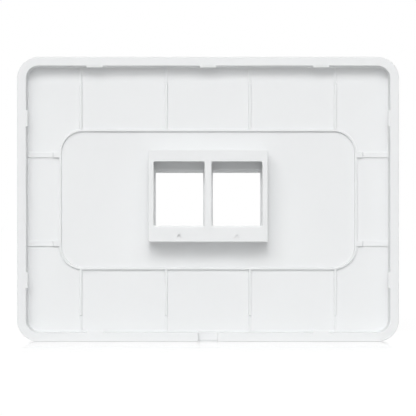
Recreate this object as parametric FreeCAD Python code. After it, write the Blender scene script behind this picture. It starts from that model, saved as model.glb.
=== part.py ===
import FreeCAD
import Part
import math
import os

# Clip-on wall cover with two keystone ports, one injection moulding. All lengths in mm.
# X runs along the cover, Z up and Y from the front panel (-Y) to the wall (+Y).
# The origin is the middle of the rim's rear edge, which lies against the wall.

# Cover: a panel with a rim round it
cover_width = 118.0
cover_height = 88.0
cover_depth = 6.5            # front of the panel to the rim's rear edge
corner_radius = 7.0
front_edge_radius = 1.4
panel_thickness = 2.0
rim_thickness = 2.7          # at the rear edge
rim_draft = 1.5              # degrees, inner wall
rim_root_radius = 0.4
rim_edge_radius = 0.15       # rear edges, outside and inside

# Snap nubs on the rim's inner wall
nub_length = 5.0
nub_reach = 0.5              # how far a nub stands out of the wall
nub_setback = 0.05           # below the rim's rear edge
nub_lead_in = 0.04
nub_land = 0.5
nub_release = 0.6
nub_offset_across = 35.0     # outer nubs of the top and bottom, from the middle
nub_offset_up = 25.0         # nubs of the two sides, from the middle

# Notch in the bottom rim for a pry tool
notch_width = 6.2            # at the rim's rear edge
notch_depth = 1.8
notch_draft = 3.0            # degrees, each side
notch_bevel_height = 0.45    # bevel at its outer end
notch_bevel_depth = 0.3

# Ribs on the panel
rib_height = 0.85
rib_thickness = 0.65
rib_draft = 2.0              # degrees, each side
ring_width = 92.65
ring_height = 43.65
ring_radius = 6.75
tie_low_height = 0.45        # short ribs near the rim
tie_offset_across = 13.0     # inner pairs above and below the ring
tie_thickness = 0.65
side_tie_offset = 13.8       # ribs left and right of the ring
side_tie_thickness = 1.6
tie_low_length = 5.3         # low end of the ribs above and below the ring, to the rim
side_tie_high_length = 1.675   # high end of the ribs beside the ring
step_run = 0.35
tie_end_radius = 0.5

# Keystone ports, in a block that stands on the panel
port_count = 2
port_pitch = 17.8
aperture_width = 14.8
aperture_height = 16.5
chamber_side_step = 0.45     # chamber wider than the aperture, each side
chamber_top_step = 3.4
mouth_top_radius = 0.5
mouth_bottom_radius = 0.8
aperture_ramp_rise = 0.95
aperture_ramp_run = 1.2
port_depth = 10.0            # front of the panel to the block's rear face
catch_thickness = 2.0        # bars at the rear that a jack's latch and hook catch on
latch_pocket = 1.8
hook_pocket = 1.8
block_side_wall = 1.6
block_top_wall = 3.5
block_bottom_wall = 4.85
block_corner_radius = 0.5
block_edge_radius = 0.15
block_draft = 0.5            # degrees
mouth_lip_height = 0.6       # slope along the mouth's lower edge
mouth_lip_depth = 0.25

# Extra length of a cutter past the face that it opens, and of a foot sunk in its carrier
overrun = 1.0
sink = 0.5

# Planes across Y
front_y = -cover_depth
panel_y = front_y + panel_thickness
block_y = front_y + port_depth

# The block round its ports
chamber_width = aperture_width + 2 * chamber_side_step
chamber_top = aperture_height / 2 + chamber_top_step
chamber_bottom = -aperture_height / 2
block_width = (port_count - 1) * port_pitch + chamber_width + 2 * block_side_wall
block_top = chamber_top + block_top_wall
block_bottom = chamber_bottom - block_bottom_wall


def point(x, y, z):
    return FreeCAD.Vector(x, y, z)


def taper(length, degrees):
    return length * math.tan(math.radians(degrees))


# Closed outline of a rounded rectangle in the plane at y. The two upper corners can have
# their own radius.
def rounded_outline(width, height, radius, y, mid_z=0.0, upper_radius=None):
    arcs = []
    for quarter in range(4):
        right = 1 if quarter in (0, 3) else -1
        upper = 1 if quarter in (0, 1) else -1
        r = upper_radius if upper == 1 and upper_radius else radius
        x = right * (width / 2 - r)
        z = mid_z + upper * (height / 2 - r)
        turns = [math.radians(90 * quarter + part) for part in (0, 45, 90)]
        ends = [point(x + r * math.cos(a), y, z + r * math.sin(a)) for a in turns]
        arcs.append(Part.Arc(*ends).toShape())
    edges = []
    for arc, following in zip(arcs, arcs[1:] + arcs[:1]):
        side = Part.LineSegment(arc.Vertexes[-1].Point, following.Vertexes[0].Point)
        edges += [arc, side.toShape()]
    return Part.Wire(edges)


def prism(outline, length):
    return Part.Face(outline).extrude(point(0, length, 0))


# Solid between two outlines of the same form, for drafted walls
def drafted(outline_a, outline_b):
    return Part.makeLoft([outline_a, outline_b], True, True)


# Solid of a closed polygon swept straight along a vector
def swept(corners, along):
    return Part.Face(Part.makePolygon(corners + corners[:1])).extrude(along)


# Solid of a closed section of (y, z) points, as long as width along X about mid_x
def section_along_x(section, width, mid_x=0.0):
    return swept([point(mid_x - width / 2, y, z) for y, z in section], point(width, 0, 0))


def edges_in_plane(shape, y):
    return [e for e in shape.Edges if abs(e.BoundBox.YMin - y) < 1e-4 > abs(e.BoundBox.YMax - y)]


def turned(shape, degrees):
    copy = shape.copy()
    copy.rotate(point(0, 0, 0), point(0, 1, 0), degrees)
    return copy


# Outline of the hollow inside the rim, wider towards the wall by the mould's draft
def hollow_outline(y):
    grow = 2 * (taper(y, rim_draft) - rim_thickness)
    radius = corner_radius + grow / 2
    return rounded_outline(cover_width + grow, cover_height + grow, radius, y)


def make_tray():
    blank = prism(rounded_outline(cover_width, cover_height, corner_radius, front_y), cover_depth)
    blank = blank.makeFillet(front_edge_radius, edges_in_plane(blank, front_y))
    hollow = drafted(hollow_outline(panel_y), hollow_outline(overrun))
    hollow = hollow.makeFillet(rim_root_radius, edges_in_plane(hollow, panel_y))
    tray = blank.cut(hollow)
    return tray.makeFillet(rim_edge_radius, edges_in_plane(tray, 0))


# One nub on the upper wall, turned to the wall that carries it: a lead-in slope that faces
# the wall bracket, a flat land and a release slope.
def make_nub(half_span, along, degrees):
    wall = half_span - rim_thickness
    crest_y = -nub_setback - nub_lead_in
    section = [
        (-nub_setback, wall + sink),
        (-nub_setback, wall),
        (crest_y, wall - nub_reach),
        (crest_y - nub_land, wall - nub_reach),
        (crest_y - nub_land - nub_release, wall),
        (crest_y - nub_land - nub_release, wall + sink),
    ]
    return turned(section_along_x(section, nub_length, along), degrees)


def make_nubs():
    nubs = [make_nub(cover_height / 2, 0, 0)]
    for side in (-1, 1):
        nubs.append(make_nub(cover_height / 2, side * nub_offset_across, 0))
        nubs.append(make_nub(cover_height / 2, side * nub_offset_across, 180))
        nubs.append(make_nub(cover_width / 2, side * nub_offset_up, 90))
        nubs.append(make_nub(cover_width / 2, side * nub_offset_up, 270))
    return nubs


# Rounded-rectangle rib, thicker at its foot by the draft
def make_ring_rib():
    foot_y = panel_y - sink
    crest_y = panel_y + rib_height
    foot_grow = 2 * taper(rib_height + sink, rib_draft)

    def shell_side(inset, grow):
        width, height = ring_width - 2 * inset, ring_height - 2 * inset
        radius = ring_radius - inset
        foot = rounded_outline(width + grow, height + grow, radius + grow / 2, foot_y)
        return drafted(foot, rounded_outline(width, height, radius, crest_y))

    return shell_side(0, foot_grow).cut(shell_side(rib_thickness, -foot_grow))


# Short rib from the ring to the rim on the upper side, turned to its own side. Its crest
# drops by a short ramp at the step, and a fillet leads it into the rim.
def make_tie(ring_half, step, half_span, along, thickness, degrees):
    foot_y = panel_y - sink
    crest_y = panel_y + rib_height
    low_y = panel_y + tie_low_height
    bend_y = low_y + tie_end_radius
    wall = half_span - rim_thickness + taper(bend_y, rim_draft)
    turn = tie_end_radius * (1 - math.sqrt(0.5))
    x = along - thickness / 2
    start = ring_half - rib_thickness / 2
    before = [
        point(x, foot_y, start),
        point(x, crest_y, start),
        point(x, crest_y, step),
        point(x, low_y, step + step_run),
        point(x, low_y, wall - tie_end_radius),
    ]
    after = [
        point(x, bend_y, wall),
        point(x, bend_y, wall + sink),
        point(x, foot_y, wall + sink),
        before[0],
    ]
    bend = Part.Arc(before[-1], point(x, low_y + turn, wall - turn), after[0])
    edges = [*Part.makePolygon(before).Edges, bend.toShape(), *Part.makePolygon(after).Edges]
    return turned(Part.Face(Part.Wire(edges)).extrude(point(thickness, 0, 0)), degrees)


def make_ties():
    outer_offset = ring_width / 2 - ring_radius
    step_up = cover_height / 2 - rim_thickness - tie_low_length
    step_across = ring_width / 2 + side_tie_high_length
    ties = []
    for degrees in (0, 180):
        for offset in (tie_offset_across, outer_offset):
            for side in (-1, 1):
                ties.append(make_tie(ring_height / 2, step_up, cover_height / 2,
                                     side * offset, tie_thickness, degrees))
    for degrees in (90, 270):
        for side in (-1, 1):
            ties.append(make_tie(ring_width / 2, step_across, cover_width / 2,
                                 side * side_tie_offset, side_tie_thickness, degrees))
    return ties


def make_block():
    height = block_top - block_bottom
    mid_z = (block_top + block_bottom) / 2
    foot_y = panel_y - sink
    grow = 2 * taper(block_y - foot_y, block_draft)
    foot_radius = block_corner_radius + grow / 2
    foot = rounded_outline(block_width + grow, height + grow, foot_radius, foot_y, mid_z)
    rear = rounded_outline(block_width, height, block_corner_radius, block_y, mid_z)
    block = drafted(foot, rear)
    return block.makeFillet(block_edge_radius, edges_in_plane(block, block_y))


# Outline of a port's chamber at y, with its lower side moved down
def chamber_outline(y, down=0.0):
    return rounded_outline(chamber_width, chamber_top - chamber_bottom + down, mouth_bottom_radius,
                           y, (chamber_top + chamber_bottom - down) / 2, mouth_top_radius)


# Everything that one port takes out of panel and block: the aperture at the front with the
# ramp over it, the chamber behind it, and the pockets in front of the two catch bars.
def make_port(mid_x):
    aperture_top = aperture_height / 2
    ramp_y = panel_y - aperture_ramp_run
    aperture = section_along_x([
        (front_y - overrun, -aperture_top),
        (front_y - overrun, aperture_top),
        (ramp_y, aperture_top),
        (panel_y, aperture_top + aperture_ramp_rise),
        (panel_y + overrun, aperture_top + aperture_ramp_rise),
        (panel_y + overrun, -aperture_top),
    ], aperture_width, mid_x)
    chamber = prism(chamber_outline(panel_y), block_y - panel_y + overrun)
    lip_overrun = overrun * mouth_lip_height / mouth_lip_depth
    lip = drafted(chamber_outline(block_y - mouth_lip_depth),
                  chamber_outline(block_y + overrun, mouth_lip_height + lip_overrun))
    for cut in (chamber, lip):
        cut.translate(point(mid_x, 0, 0))
    catch_y = block_y - catch_thickness
    pockets = section_along_x([
        (panel_y, chamber_bottom - hook_pocket),
        (catch_y, chamber_bottom - hook_pocket),
        (catch_y, chamber_top + latch_pocket),
        (panel_y, chamber_top + latch_pocket),
    ], chamber_width, mid_x)
    return aperture.fuse([chamber, lip, pockets])


# Notch in the bottom rim: a floor with a bevel at its outer end, between two drafted sides
def make_notch():
    bottom = -cover_height / 2
    top = bottom + rim_thickness + sink
    bevel_overrun = sink * notch_bevel_depth / notch_bevel_height
    deep_y = -notch_depth - notch_bevel_depth - bevel_overrun
    floor = section_along_x([
        (overrun, top),
        (-notch_depth, top),
        (-notch_depth, bottom + notch_bevel_height),
        (deep_y, bottom - sink),
        (overrun, bottom - sink),
    ], notch_width + 2 * overrun)
    rear_half = notch_width / 2 + taper(overrun, notch_draft)
    deep_half = notch_width / 2 + taper(deep_y, notch_draft)
    between_sides = swept([
        point(-rear_half, overrun, bottom - sink),
        point(rear_half, overrun, bottom - sink),
        point(deep_half, deep_y, bottom - sink),
        point(-deep_half, deep_y, bottom - sink),
    ], point(0, 0, top - bottom + sink))
    return floor.common(between_sides)


def make_faceplate():
    solid = make_tray().fuse([make_ring_rib(), *make_ties(), make_block(), *make_nubs()])
    first = -(port_count - 1) * port_pitch / 2
    ports = [make_port(first + i * port_pitch) for i in range(port_count)]
    return solid.cut([*ports, make_notch()]).removeSplitter()


faceplate = make_faceplate()
os.makedirs("parts", exist_ok=True)
faceplate.exportStep("parts/faceplate.step")
print("faceplate:", len(faceplate.Solids), "solid,", round(faceplate.Volume, 1), "mm3")
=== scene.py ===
import math
import bmesh
import bpy
import numpy as np
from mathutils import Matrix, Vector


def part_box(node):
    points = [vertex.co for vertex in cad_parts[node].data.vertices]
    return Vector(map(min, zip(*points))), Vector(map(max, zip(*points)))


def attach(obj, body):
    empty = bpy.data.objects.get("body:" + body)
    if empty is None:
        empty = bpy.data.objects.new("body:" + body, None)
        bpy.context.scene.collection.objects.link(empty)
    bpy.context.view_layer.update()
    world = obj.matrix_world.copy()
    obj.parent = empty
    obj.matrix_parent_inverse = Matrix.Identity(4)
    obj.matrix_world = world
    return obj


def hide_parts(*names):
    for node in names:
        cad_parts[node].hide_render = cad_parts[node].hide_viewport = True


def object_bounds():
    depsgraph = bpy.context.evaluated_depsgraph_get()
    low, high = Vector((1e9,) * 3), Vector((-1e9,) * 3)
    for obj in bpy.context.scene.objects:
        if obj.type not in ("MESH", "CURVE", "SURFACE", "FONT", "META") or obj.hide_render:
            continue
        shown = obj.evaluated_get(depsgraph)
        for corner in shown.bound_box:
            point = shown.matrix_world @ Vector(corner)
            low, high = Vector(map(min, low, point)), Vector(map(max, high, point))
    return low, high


# Clip-on wall cover with two keystone ports, seen from its wall side.
# Its mesh is worked out in millimetres and brought to metres when it is finished.

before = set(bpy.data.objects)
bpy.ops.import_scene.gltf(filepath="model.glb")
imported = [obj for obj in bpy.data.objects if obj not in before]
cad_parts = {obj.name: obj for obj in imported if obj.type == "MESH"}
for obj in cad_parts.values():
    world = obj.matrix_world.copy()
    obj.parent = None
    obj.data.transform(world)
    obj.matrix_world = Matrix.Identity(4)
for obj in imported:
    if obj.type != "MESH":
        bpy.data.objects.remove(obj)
cadLow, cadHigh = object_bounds()
mm = 0.001
plateLow, plateHigh = (np.array(corner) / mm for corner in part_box("faceplate"))
print("frame loaded")

arcSteps = 20            # steps along each corner of an outline
roundSteps = 6           # steps across a rounded edge
sink = 0.5               # how far a form reaches into what it grows from
overrun = 1.0            # how far a cutter reaches past what it opens
sharpAngle = 25.0        # degrees between two faces, past which their edge stays sharp


# Rounded rectangle about (0, midZ): point = corner centre + radius * (cos t, sin t), with t
# going round once over the four corners. Returns the points and their outward directions.
def outline(width, height, radii, midZ=0.0):
    corner = np.repeat(np.arange(4), arcSteps + 1)
    t = np.tile(np.linspace(0, np.pi / 2, arcSteps + 1), 4) + corner * np.pi / 2
    radius = np.broadcast_to(np.asarray(radii, float), 4)[corner]
    across = np.array([1, -1, -1, 1])[corner] * (width / 2 - radius)
    up = np.array([1, 1, -1, -1])[corner] * (height / 2 - radius) + midZ
    outward = np.stack([np.cos(t), np.sin(t)], axis=1)
    return np.stack([across, up], axis=1) + radius[:, None] * outward, outward


# Profile of (offset, y) carried round an outline: row i holds outline + offset[i] * outward
# in the plane y[i].
def sweep(path, profile):
    points, outward = path
    offset, y = np.asarray(profile, float).T
    flat = points[None] + offset[:, None, None] * outward[None]
    depth = np.broadcast_to(y[:, None], flat.shape[:2])
    return np.stack([flat[..., 0], depth, flat[..., 1]], axis=-1)


# Points and faces of a grid whose columns close on themselves: face (i, j) joins two rows and
# two columns. The end rows get one face each, or with loop=True the last row joins the first.
# The faces come as arrays of equally long faces.
def shell(grid, loop=False):
    rows, cols = grid.shape[:2]
    i = np.arange(rows if loop else rows - 1)[:, None]
    j = np.arange(cols)[None]
    below, beside = (i + 1) % rows * cols, (j + 1) % cols
    quads = np.stack([i * cols + j, below + j, below + beside, i * cols + beside], axis=-1)
    faces = [quads.reshape(-1, 4)]
    if not loop:
        faces.append(np.stack([np.arange(cols), rows * cols - 1 - np.arange(cols)]))
    return grid.reshape(-1, 3), faces


# Straight prism: a closed outline of 3-D points, and the same outline moved by shift
def prism(points, shift):
    points = np.asarray(points, float)
    return shell(np.stack([points, points + shift]))


# Prism along X of a closed (y, z) section, as long as width about midX
def bar(section, width, midX=0.0):
    y, z = np.asarray(section, float).T
    return prism(np.stack([np.full_like(y, midX - width / 2), y, z], axis=1), [width, 0, 0])


# Points of an arc about (u, v), from one angle to the other in degrees
def arc(u, v, radius, start, stop):
    t = np.radians(np.linspace(start, stop, roundSteps + 1))
    return np.stack([u + radius * np.cos(t), v + radius * np.sin(t)], axis=1).tolist()


# Shell turned about Y by quarter turns, from the upper side to another
def turned(part, quarters):
    points, faces = part
    c, s = [(1, 0), (0, 1), (-1, 0), (0, -1)][quarters]
    x, y, z = points.T
    return np.stack([c * x + s * z, y, c * z - s * x], axis=1), faces


# How far a leaning face comes out over a length: length * tan(angle)
def grow(length, degrees):
    return length * math.tan(math.radians(degrees))


tray = {
    "cornerRadius": 6.63,
    "frontRound": 1.4,
    "panel": 2.0,        # thickness
    "rim": 2.7,          # thickness at the rear edge
    "rimDraft": 1.5,     # degrees
    "rootRound": 0.4,
    "outerRound": 0.2,   # rear edge of the rim, outside and inside
    "innerRound": 0.1,
}
halfWidth, frontY, halfHeight = plateHigh[0], plateLow[1], plateHigh[2]
blockY = plateHigh[1]
panelY = frontY + tray["panel"]


# Offset of the rim's inner wall at depth y, from the plate's outline
def wallOffset(y):
    return grow(y, tray["rimDraft"]) - tray["rim"]


# Panel with its rim: front edge, outer wall, rear edge, leaning inner wall and root are one
# profile, carried round the plate's outline.
def trayShell():
    front, root = tray["frontRound"], tray["rootRound"]
    outer, inner = tray["outerRound"], tray["innerRound"]
    foot = wallOffset(panelY + root)
    profile = [
        *arc(-front, frontY + front, front, -90, 0),
        *arc(-outer, -outer, outer, 0, 90),
        *arc(inner - tray["rim"], -inner, inner, 90, 180 + tray["rimDraft"]),
        *arc(foot - root, panelY + root, root, 0, -90),
    ]
    path = outline(2 * halfWidth, 2 * halfHeight, tray["cornerRadius"])
    return shell(sweep(path, profile))


nub = {
    "length": 5.0,
    "reach": 0.5,
    "setback": 0.05,
    "leadIn": 0.04,
    "land": 0.5,
    "release": 0.6,
    "across": 35.0,      # outer nubs of the upper and lower rim, from the middle
    "up": 25.0,          # nubs of the two sides, from the middle
}


# Nub on the rim's inner wall: a lead-in, a land and a release slope in (y, z), as a bar that
# is then turned to its side.
def nubShell(half, along, quarters):
    wall = half - tray["rim"]
    crest = -nub["setback"] - nub["leadIn"]
    foot = crest - nub["land"] - nub["release"]
    section = [
        (-nub["setback"], wall + sink),
        (-nub["setback"], wall),
        (crest, wall - nub["reach"]),
        (crest - nub["land"], wall - nub["reach"]),
        (foot, wall),
        (foot, wall + sink),
    ]
    return turned(bar(section, nub["length"], along), quarters)


# One nub in the middle of the upper rim, and a mirrored pair on each of the four sides
def nubShells():
    shells = [nubShell(halfHeight, 0, 0)]
    for side in (-1, 1):
        shells += [nubShell(halfHeight, side * nub["across"], quarters) for quarters in (0, 2)]
        shells += [nubShell(halfWidth, side * nub["up"], quarters) for quarters in (1, 3)]
    return shells


rib = {
    "height": 0.85,
    "thickness": 0.65,   # at the crest, as are the ties'
    "draft": 8.0,        # degrees, each side
    "crestRound": 0.06,
    "ringWidth": 92.65,
    "ringHeight": 43.65,
    "ringRadius": 7.38,
    "lowHeight": 0.45,
    "lowLength": 5.3,    # low end of the upper and lower ties, to the rim
    "sideHighLength": 1.675,  # high end of the ties beside the ring
    "stepRun": 0.35,
    "endRound": 0.5,
    "across": 13.0,      # inner ties above and below the ring
    "outerAcross": 39.58,
    "tie": 0.65,         # thickness
    "sideUp": 13.8,      # ties beside the ring
    "sideTie": 1.6,
}


# Ring: a crest with rounded edges between two leaning sides, carried round its outline
def ringShell():
    crest, edge = panelY + rib["height"], rib["crestRound"]
    spread = grow(rib["height"] + sink, rib["draft"])
    profile = [
        (spread, panelY - sink),
        *arc(-edge, crest - edge, edge, 0, 90),
        *arc(edge - rib["thickness"], crest - edge, edge, 90, 180),
        (-rib["thickness"] - spread, panelY - sink),
    ]
    path = outline(rib["ringWidth"], rib["ringHeight"], rib["ringRadius"])
    return shell(sweep(path, profile), loop=True)


# Tie between ring and rim: its crest is high next to the ring, steps down, and is led into
# the rim by an arc. Each station along it carries the same section at its own height.
def tieShell(ringHalf, step, half, along, thickness, quarters):
    lowY, bend, edge = panelY + rib["lowHeight"], rib["endRound"], rib["crestRound"]
    wall = half + wallOffset(lowY + bend)
    start = ringHalf - rib["thickness"] / 2
    crest, z = np.array([
        (panelY + rib["height"], start),
        (panelY + rib["height"], step),
        (lowY, step + rib["stepRun"]),
        *arc(lowY + bend, wall - bend, bend, 180, 90),
        (lowY + bend, wall + sink),
    ]).T[..., None]
    shoulder = np.array(arc(thickness / 2 - edge, -edge, edge, 90, 0))
    foot = thickness / 2 + grow(crest - panelY + sink, rib["draft"])
    x = np.hstack([np.broadcast_to(shoulder[:, 0], (len(z), len(shoulder))), foot])
    y = np.hstack([crest + shoulder[:, 1], np.full_like(crest, panelY - sink)])
    x = np.hstack([x, -x[:, ::-1]]) + along
    grid = np.stack([x, np.hstack([y, y[:, ::-1]]), np.broadcast_to(z, x.shape)], axis=-1)
    return turned(shell(grid), quarters)


# Two mirrored pairs of ties above the ring and below it, and one pair on each side
def tieShells():
    stepUp = halfHeight - tray["rim"] - rib["lowLength"]
    stepAcross = rib["ringWidth"] / 2 + rib["sideHighLength"]
    shells = []
    for side in (-1, 1):
        for along in (side * rib["across"], side * rib["outerAcross"]):
            shells += [tieShell(rib["ringHeight"] / 2, stepUp, halfHeight, along, rib["tie"], q)
                       for q in (0, 2)]
        shells += [tieShell(rib["ringWidth"] / 2, stepAcross, halfWidth, side * rib["sideUp"],
                            rib["sideTie"], q) for q in (1, 3)]
    return shells


port = {
    "pitch": 17.8,
    "width": 14.8,       # aperture in the panel
    "height": 16.5,
    "sideStep": 0.45,    # chamber wider than the aperture, each side
    "topStep": 3.4,
    "topRadius": 0.5,
    "bottomRadius": 0.8,
    "rampRise": 0.95,
    "rampRun": 0.7,
    "catch": 2.0,        # thickness of the bars behind the pockets
    "pocket": 1.8,       # depth of the pockets
    "lipHeight": 0.6,    # slope along the mouth's lower edge
    "lipDepth": 0.25,
}
block = {
    "sideWall": 1.6,
    "topWall": 3.5,
    "bottomWall": 4.85,
    "cornerRadius": 0.5,
    "rearRound": 0.15,
    "draft": 0.5,        # degrees
}
chamberWidth = port["width"] + 2 * port["sideStep"]
chamberTop = port["height"] / 2 + port["topStep"]
chamberBottom = -port["height"] / 2
blockTop = chamberTop + block["topWall"]
blockBottom = chamberBottom - block["bottomWall"]


# Block round both ports: a leaning wall and a rounded rear edge, carried round its outline
def blockShell():
    width = port["pitch"] + chamberWidth + 2 * block["sideWall"]
    edge = block["rearRound"]
    profile = [
        (grow(blockY - panelY + sink, block["draft"]), panelY - sink),
        *arc(-edge, blockY - edge, edge, 0, 90),
    ]
    path = outline(width, blockTop - blockBottom, block["cornerRadius"],
                   (blockTop + blockBottom) / 2)
    return shell(sweep(path, profile))


# Chamber of a port: its outline stands in three planes, and from the second to the third its
# lower side goes down by the slope of the lip.
def chamberShell():
    radii = [port["topRadius"]] * 2 + [port["bottomRadius"]] * 2
    slope = port["lipHeight"] / port["lipDepth"]
    rows = [(panelY, 0), (blockY - port["lipDepth"], 0),
            (blockY + overrun, port["lipHeight"] + overrun * slope)]
    height = chamberTop - chamberBottom
    middle = (chamberTop + chamberBottom) / 2
    grid = []
    for y, down in rows:
        points, _ = outline(chamberWidth, height + down, radii, middle - down / 2)
        grid.append(np.insert(points, 1, y, axis=1))
    return shell(np.stack(grid))


# What one port takes out: aperture with its ramp, chamber with its lip, pockets
def portShells(midX):
    top = port["height"] / 2
    rampTop = top + port["rampRise"]
    aperture = bar([
        (frontY - overrun, -top),
        (frontY - overrun, top),
        (panelY - port["rampRun"], top),
        (panelY, rampTop),
        (panelY + overrun, rampTop),
        (panelY + overrun, -top),
    ], port["width"], midX)
    chamber, faces = chamberShell()
    pockets = bar([
        (panelY, chamberBottom - port["pocket"]),
        (panelY, chamberTop + port["pocket"]),
        (blockY - port["catch"], chamberTop + port["pocket"]),
        (blockY - port["catch"], chamberBottom - port["pocket"]),
    ], chamberWidth, midX)
    return [aperture, (chamber + [midX, 0, 0], faces), pockets]


notch = {
    "width": 6.2,
    "depth": 1.8,
    "draft": 3.0,        # degrees, each side
    "bevelHeight": 0.45,  # bevel at the outer end
    "bevelDepth": 0.3,
}


# Notch in the lower rim: one (y, z) section of its floor with a bevel at the outer end, on
# two sides that close in with the depth.
def notchShell():
    depth, slope = notch["depth"], notch["bevelDepth"] / notch["bevelHeight"]
    y, z = np.array([
        (overrun, tray["rim"] + sink),
        (-depth, tray["rim"] + sink),
        (-depth, notch["bevelHeight"]),
        (-depth - notch["bevelDepth"] - sink * slope, -sink),
        (overrun, -sink),
    ]).T
    half = notch["width"] / 2 + grow(y, notch["draft"])
    return shell(np.stack([np.stack([x, y, z - halfHeight], axis=1) for x in (-half, half)]))


# Small chevron cut into the block under each port, pointing up
chevron = {"width": 1.75, "height": 1.35, "stroke": 0.18, "depth": 0.6, "below": 2.45}


# Prism of two strokes that meet at the top. The inner point lies below the outer one by the
# stroke * sqrt(1 + slope^2), which makes each stroke that wide across its own direction.
def chevronShell(midX):
    reach = chevron["width"] / 2
    slope = chevron["height"] / reach
    drop = chevron["stroke"] * math.hypot(1, slope)
    top = chamberBottom - chevron["below"]
    foot = top - chevron["height"]
    corners = np.array([
        (0, top),
        (reach, foot),
        (reach - drop / slope, foot),
        (0, top - drop),
        (drop / slope - reach, foot),
        (-reach, foot),
    ])
    points = np.insert(corners + [midX, 0], 1, blockY - chevron["depth"], axis=1)
    return prism(points, [0, chevron["depth"] + overrun, 0])


# One object of several closed shells, with their faces turned outwards
def toolObject(name, shells):
    starts = np.cumsum([0] + [len(points) for points, _ in shells])
    faces = [face for start, (_, groups) in zip(starts, shells)
             for group in groups for face in (group + start).tolist()]
    mesh = bpy.data.meshes.new(name)
    mesh.from_pydata(np.concatenate([points for points, _ in shells]).tolist(), [], faces)
    editing = bmesh.new()
    editing.from_mesh(mesh)
    bmesh.ops.recalc_face_normals(editing, faces=editing.faces)
    editing.to_mesh(mesh)
    editing.free()
    made = bpy.data.objects.new(name, mesh)
    bpy.context.scene.collection.objects.link(made)
    return made


# Puts an object's modifiers into its mesh
def applied(made):
    graph = bpy.context.evaluated_depsgraph_get()
    mesh = bpy.data.meshes.new_from_object(made.evaluated_get(graph))
    made.modifiers.clear()
    made.data = mesh
    return mesh


# The cover in one mesh: tray, joined with what grows on it, less what is taken out
def makeFaceplate():
    middles = (-port["pitch"] / 2, port["pitch"] / 2)
    body = toolObject("moulded_faceplate", [trayShell()])
    grown = toolObject("grown", [ringShell(), blockShell(), *tieShells(), *nubShells()])
    taken = toolObject("taken", [notchShell(), *[s for x in middles for s in portShells(x)],
                                 *[chevronShell(x) for x in middles]])
    for tool, operation in ((grown, "UNION"), (taken, "DIFFERENCE")):
        step = body.modifiers.new(tool.name, "BOOLEAN")
        step.operation = operation
        step.solver = "EXACT"
        step.use_self = True
        step.object = tool
    mesh = applied(body)
    for tool in (grown, taken):
        bpy.data.objects.remove(tool)
    points = np.empty(len(mesh.vertices) * 3)
    mesh.vertices.foreach_get("co", points)
    mesh.vertices.foreach_set("co", points * mm)
    mesh.shade_smooth()
    mesh.set_sharp_from_angle(angle=math.radians(sharpAngle))
    even = body.modifiers.new("flat faces stay flat", "WEIGHTED_NORMAL")
    even.keep_sharp = True
    applied(body).name = "moulded_faceplate"
    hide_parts("faceplate")
    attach(body, "root")
    return body


faceplate = makeFaceplate()
print("faceplate made:", len(faceplate.data.polygons), "faces")


# One number socket of a node tree. Sums on it add Math nodes, and node() adds any other node.
class Signal:
    def __init__(self, tree, socket=None):
        self.tree, self.socket = tree, socket

    # Sets the node's settings first, then the values or links of its sockets, and returns
    # the output asked for.
    def node(self, kind, settings=None, sockets=None, output=0):
        made = self.tree.nodes.new(kind)
        for name, value in (settings or {}).items():
            setattr(made, name, value)
        for name, value in (sockets or {}).items():
            if isinstance(value, Signal):
                self.tree.links.new(value.socket, made.inputs[name])
            else:
                made.inputs[name].default_value = value
        return Signal(self.tree, made.outputs[output]) if made.outputs else None

    def maths(self, operation, first, second=0.0):
        return self.node("ShaderNodeMath", {"operation": operation}, {0: first, 1: second})

    def __add__(self, other):
        return self.maths("ADD", self, other)

    def __sub__(self, other):
        return self.maths("SUBTRACT", self, other)

    def __mul__(self, other):
        return self.maths("MULTIPLY", self, other)

    def __truediv__(self, other):
        return self.maths("DIVIDE", self, other)

    def __rsub__(self, other):
        return self.maths("SUBTRACT", other, self)

    def __abs__(self):
        return self.maths("ABSOLUTE", self)

    __radd__, __rmul__ = __add__, __mul__


# Empties the node tree of a material or a world, and returns where its nodes start
def emptyTree(owner):
    owner.use_nodes = True
    owner.node_tree.nodes.clear()
    return Signal(owner.node_tree)


plastic = {
    "tone": (0.805, 0.815, 0.820, 1),
    "toneDeep": (0.792, 0.803, 0.809, 1),
    "drift": {"Scale": 38.0, "Detail": 3},    # slow change of tone, scale per metre
    "grain": {"Scale": 2600.0, "Detail": 2},  # moulded texture, scale per metre
    "noiseRoughness": 0.55,
    "grainShare": 0.3,   # of the tone, the rest is the drift's
    "grainDepth": 0.000004,
    "bumpStrength": 0.35,
    "roughness": 0.42,
    "roughnessSpread": 0.1,
    "ior": 1.46,
    "specular": 0.4,
}


# Tone = mix of two whites by drift and grain; roughness = its middle + spread * (grain - 0.5)
def whitePlastic():
    made = bpy.data.materials.new("white_plastic")
    start = emptyTree(made)
    place = start.node("ShaderNodeTexCoord", output="Object")
    drift, grain = (start.node("ShaderNodeTexNoise", None, {
        "Vector": place, "Roughness": plastic["noiseRoughness"], **plastic[name],
    }) for name in ("drift", "grain"))
    share = drift * (1 - plastic["grainShare"]) + grain * plastic["grainShare"]
    tone = start.node("ShaderNodeMix", {"data_type": "RGBA"}, {
        "Factor": share, 6: plastic["toneDeep"], 7: plastic["tone"],  # its colour sockets
    }, output=2)
    relief = start.node("ShaderNodeBump", None, {
        "Height": grain, "Strength": plastic["bumpStrength"], "Distance": plastic["grainDepth"],
    })
    shine = plastic["roughness"] + (grain - 0.5) * plastic["roughnessSpread"]
    surface = start.node("ShaderNodeBsdfPrincipled", None, {
        "Base Color": tone, "Roughness": shine, "Normal": relief,
        "IOR": plastic["ior"], "Specular IOR Level": plastic["specular"],
    })
    start.node("ShaderNodeOutputMaterial", None, {"Surface": surface})
    return made


faceplate.data.materials.clear()
faceplate.data.materials.append(whitePlastic())
print("plastic ready")


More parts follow.
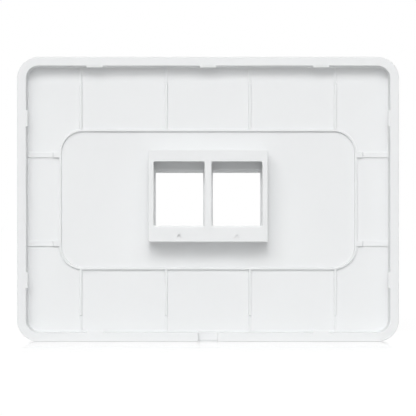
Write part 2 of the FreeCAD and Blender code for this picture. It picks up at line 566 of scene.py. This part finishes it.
studio = {
    "floorSize": 6.0,
    "floorTone": (0.86, 0.86, 0.86, 1),
    "shownTone": (0.12, 0.12, 0.12, 1),  # matt part of the floor that the camera sees
    "shownGlow": 0.93,   # and the plain white that it sees there
    "gloss": 0.6,        # share of gloss next to the cover, gone at glossReach
    "glossReach": 0.07,
    "glossRoughness": 0.1,
    "skyLevel": 0.137,
    "lampDistance": 7.0,
}
lamps = {                # degrees above the horizon and towards +X, size in metres, watts
    "key": {"up": 28.0, "side": 0.0, "size": (2.1, 4.6), "power": 202.0},
    "side": {"up": 31.5, "side": 25.0, "size": (3.4, 2.2), "power": 129.0},
    "kicker": {"up": 33.0, "side": -25.0, "size": (1.8, 1.8), "power": 41.0},
    "top": {"up": 67.0, "side": 0.0, "size": (3.0, 3.0), "power": 47.0},
    "front": {"up": 20.0, "side": 180.0, "size": (4.2, 2.8), "power": 136.0},
}
camera = {
    "distance": 0.620,   # metres from the origin, towards the wall
    "height": -0.00271,
    "lens": 173.6,       # millimetres, as is the sensor's width
    "sensor": 36.0,
}
white = (1, 1, 1, 1)


# Two masks: 1 on camera rays, and 1 on camera, mirrored and refracted rays, which all show
# the studio plain white.
def shownRays(start):
    seen, mirrored, passed = (
        start.node("ShaderNodeLightPath", output=name)
        for name in ("Is Camera Ray", "Is Glossy Ray", "Is Transmission Ray"))
    return seen, seen + mirrored + passed


# Matt floor that takes the shadow and shows white. Gloss share = gloss * (1 - distance / reach)
# squared, with the distance in front of the cover or behind it, and for the camera alone.
def makeFloor():
    half = studio["floorSize"] / 2
    u, v = np.meshgrid([-half, half], [-half, half])
    corners = np.stack([u, v, np.full_like(u, cadLow.z)], axis=-1).reshape(-1, 3)
    mesh = bpy.data.meshes.new("floor")
    mesh.from_pydata(corners.tolist(), [], [(0, 1, 3, 2)])
    floor = bpy.data.objects.new("floor", mesh)
    bpy.context.scene.collection.objects.link(floor)
    made = bpy.data.materials.new("white_floor")
    start = emptyTree(made)
    seen, shown = shownRays(start)
    matt, faint = (start.node("ShaderNodeBsdfDiffuse", None, {"Color": studio[name]})
                   for name in ("floorTone", "shownTone"))
    glow = start.node("ShaderNodeEmission", None,
                      {"Color": white, "Strength": studio["shownGlow"]})
    gloss = start.node("ShaderNodeBsdfGlossy", None,
                       {"Color": white, "Roughness": studio["glossRoughness"]})
    bright = start.node("ShaderNodeAddShader", None, {0: faint, 1: glow})
    plain = start.node("ShaderNodeMixShader", None, {0: shown, 1: matt, 2: bright})
    place = start.node("ShaderNodeTexCoord", output="Object")
    away = abs(start.node("ShaderNodeSeparateXYZ", None, {0: place}, "Y"))
    near = start.maths("MAXIMUM", 1 - away / studio["glossReach"])
    surface = start.node("ShaderNodeMixShader", None,
                         {0: seen * near * near * studio["gloss"], 1: plain, 2: gloss})
    start.node("ShaderNodeOutputMaterial", None, {"Surface": surface})
    mesh.materials.append(made)


# Dim sky that lights the cover, behind a plain white one that shows
def makeWorld():
    world = bpy.data.worlds.new("studio")
    bpy.context.scene.world = world
    start = emptyTree(world)
    _, shown = shownRays(start)
    dim, bright = (start.node("ShaderNodeBackground", None, {"Color": white, "Strength": level})
                   for level in (studio["skyLevel"], 1.0))
    sky = start.node("ShaderNodeMixShader", None, {0: shown, 1: dim, 2: bright})
    start.node("ShaderNodeOutputWorld", None, {"Surface": sky})


# Area lamp that points at the origin, from distance * (sin side * cos up, cos side * cos up,
# sin up).
def makeLamp(name, up, side, size, power):
    lamp = bpy.data.lights.new(name, "AREA")
    lamp.shape = "RECTANGLE"
    lamp.size, lamp.size_y = size
    lamp.energy = power
    up, side = math.radians(up), math.radians(side)
    towards = (math.sin(side) * math.cos(up), math.cos(side) * math.cos(up), math.sin(up))
    lampObject = bpy.data.objects.new(name, lamp)
    lampObject.location = np.array(towards) * studio["lampDistance"]
    lampObject.rotation_euler = lampObject.location.to_track_quat("Z", "Y").to_euler()
    bpy.context.scene.collection.objects.link(lampObject)


# Level camera on the wall side, looking along -Y
def makeCamera():
    lens = bpy.data.cameras.new("camera")
    lens.lens, lens.sensor_width = camera["lens"], camera["sensor"]
    eye = bpy.data.objects.new("camera", lens)
    eye.location = (0, camera["distance"], camera["height"])
    eye.rotation_euler = (math.radians(90), 0, math.radians(180))
    bpy.context.scene.collection.objects.link(eye)
    bpy.context.scene.camera = eye


makeFloor()
makeWorld()
for name, values in lamps.items():
    makeLamp(name, **values)
makeCamera()
bpy.context.scene.view_settings.view_transform = "Standard"
print("studio ready")
